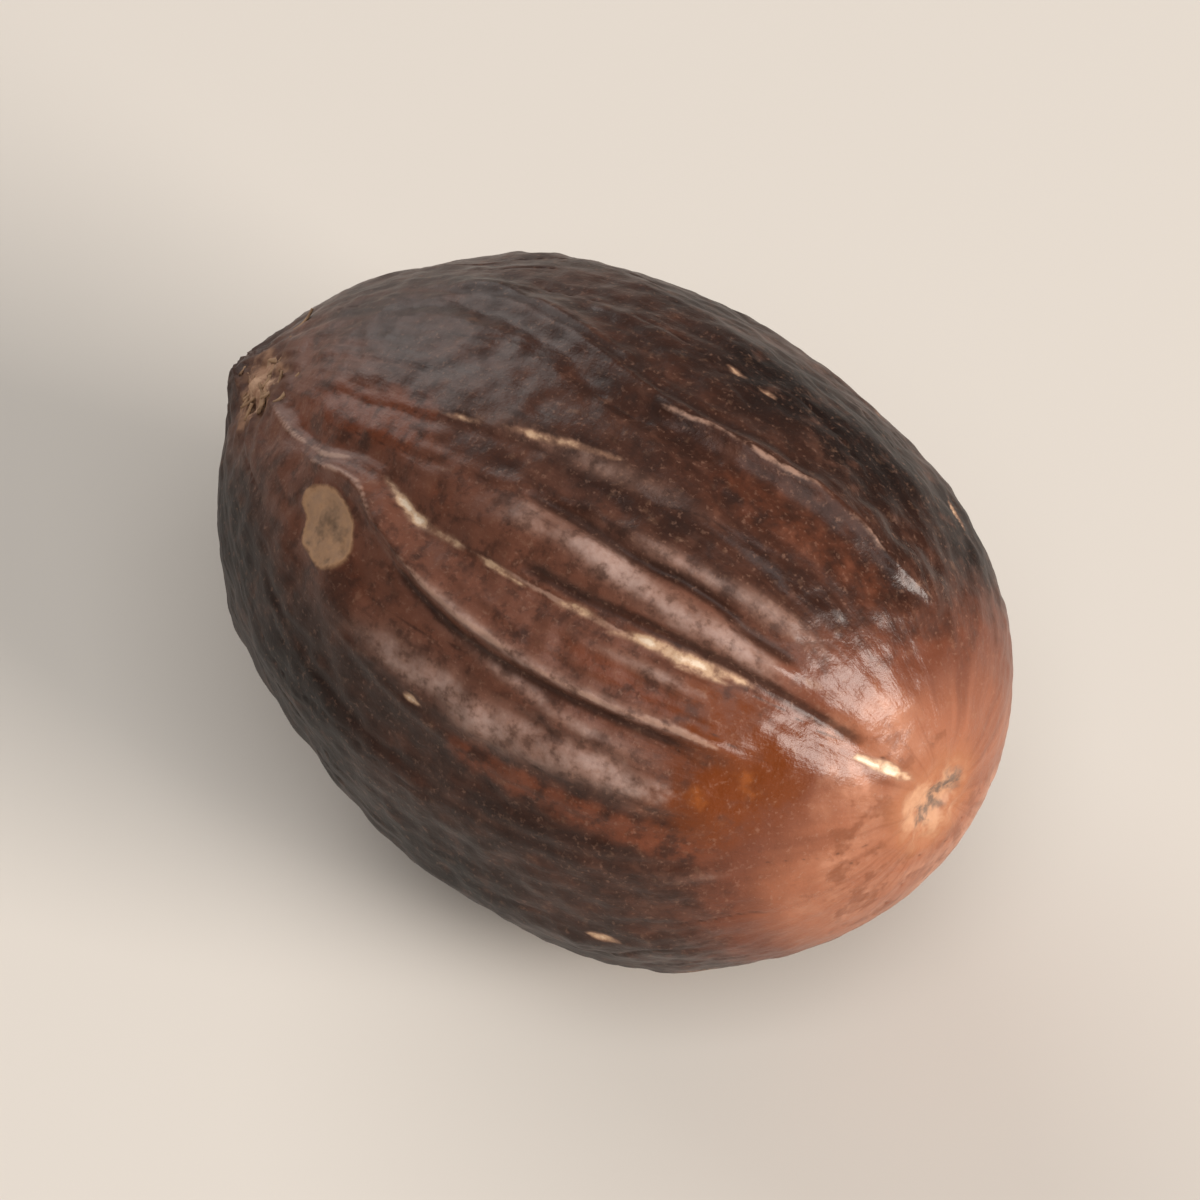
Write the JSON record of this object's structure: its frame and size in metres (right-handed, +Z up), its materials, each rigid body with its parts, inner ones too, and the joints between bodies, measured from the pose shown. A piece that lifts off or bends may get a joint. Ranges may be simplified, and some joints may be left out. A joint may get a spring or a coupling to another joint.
{
  "type": "whole nutmeg in its shell",
  "caption": "Whole dried nutmeg in its glossy brown shell: an egg drawn out at the hilum, with a seam and low ribs along it, lying on its side as a spice for grating or display",
  "frame": {"origin": "on the surface that the nutmeg lies on, under the middle of its box", "axes": "+X along the nutmeg's length, from the hilum towards the chalaza, the paler end; +Z up; the raphe, the seam between the ends, lies on the -Y side, above the middle"},
  "size_m": [0.0286, 0.021, 0.0206],
  "materials": {
    "nutmeg_shell": "smooth woody seed coat with a satin gloss, dark brown with an orange-brown chalaza end, pale scuffs and a rough tan hilum"
  },
  "bodies": {
    "root": {"nutmeg": "nutmeg_shell"}
  },
  "joints": []
}
